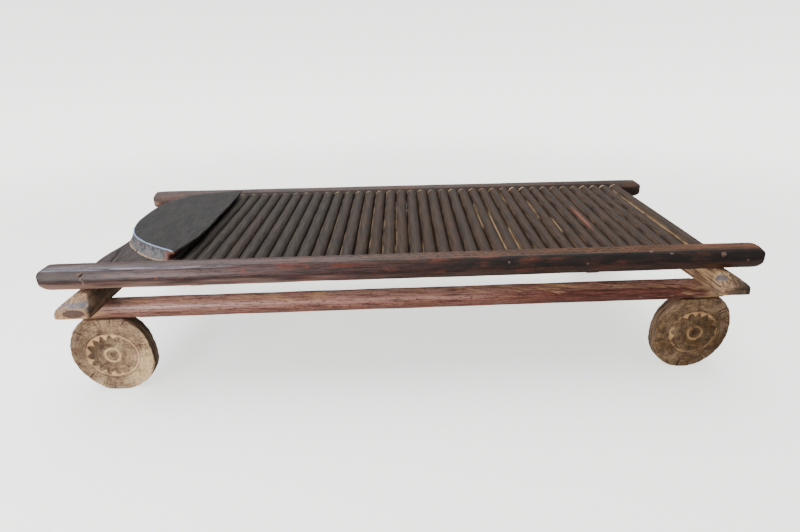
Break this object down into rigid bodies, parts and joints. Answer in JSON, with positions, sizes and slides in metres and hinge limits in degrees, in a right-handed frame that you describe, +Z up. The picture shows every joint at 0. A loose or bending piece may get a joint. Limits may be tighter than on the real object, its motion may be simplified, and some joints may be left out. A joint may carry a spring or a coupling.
{
  "type": "daybed",
  "caption": "Low wooden daybed: hewn side rails hold a deck of round slats and a half-moon headrest, on cross beams, lower rails and fixed disc feet.",
  "frame": {"origin": "middle of the daybed's whole length and width, on the floor it stands on", "axes": "+X along the side rails from the head end to the foot end, +Y across from the front side to the back, +Z up"},
  "size_m": [2.1394, 1.01, 0.456],
  "materials": {
    "side_rail_wood": "hand-worn dark reddish brown, glossy, black in the hollows",
    "lower_rail_wood": "reddish brown, half gloss, worn to raw tan wood near the feet",
    "beam_wood": "dry olive tan, matte, adze marks",
    "disc_wood": "dry tan end grain with checks and a carved ring of teeth",
    "head_board_wood": "dark brown, matte, cracked along the grain",
    "headrest_wood": "black patina, satin",
    "slat_wood": "dark grey brown patina, fine fibre ridges, satin",
    "peg_wood": "pale raw wood, matte"
  },
  "bodies": {
    "root": {"front_side_rail": "side_rail_wood", "back_side_rail": "side_rail_wood", "front_lower_rail": "lower_rail_wood", "back_lower_rail": "lower_rail_wood", "head_cross_beam": "beam_wood", "foot_cross_beam": "beam_wood", "head_front_disc_foot": "disc_wood", "foot_front_disc_foot": "disc_wood", "head_back_disc_foot": "disc_wood", "foot_back_disc_foot": "disc_wood", "head_board": "head_board_wood", "headrest": "headrest_wood", "slat_01": "slat_wood", "slat_02": "slat_wood", "slat_03": "slat_wood", "slat_04": "slat_wood", "slat_05": "slat_wood", "slat_06": "slat_wood", "slat_07": "slat_wood", "slat_08": "slat_wood", "slat_09": "slat_wood", "slat_10": "slat_wood", "slat_11": "slat_wood", "slat_12": "slat_wood", "slat_13": "slat_wood", "slat_14": "slat_wood", "slat_15": "slat_wood", "slat_16": "slat_wood", "slat_17": "slat_wood", "slat_18": "slat_wood", "slat_19": "slat_wood", "slat_20": "slat_wood", "slat_21": "slat_wood", "slat_22": "slat_wood", "slat_23": "slat_wood", "slat_24": "slat_wood", "slat_25": "slat_wood", "slat_26": "slat_wood", "slat_27": "slat_wood", "slat_28": "slat_wood", "slat_29": "slat_wood", "slat_30": "slat_wood", "slat_31": "slat_wood", "slat_32": "slat_wood", "slat_33": "slat_wood", "slat_34": "slat_wood", "slat_35": "slat_wood", "slat_36": "slat_wood", "foot_end_bar": "slat_wood", "rail_pegs": "peg_wood", "lower_rail_pegs": "peg_wood", "foot_dowels": "peg_wood", "headrest_dowels": "peg_wood"}
  },
  "joints": []
}
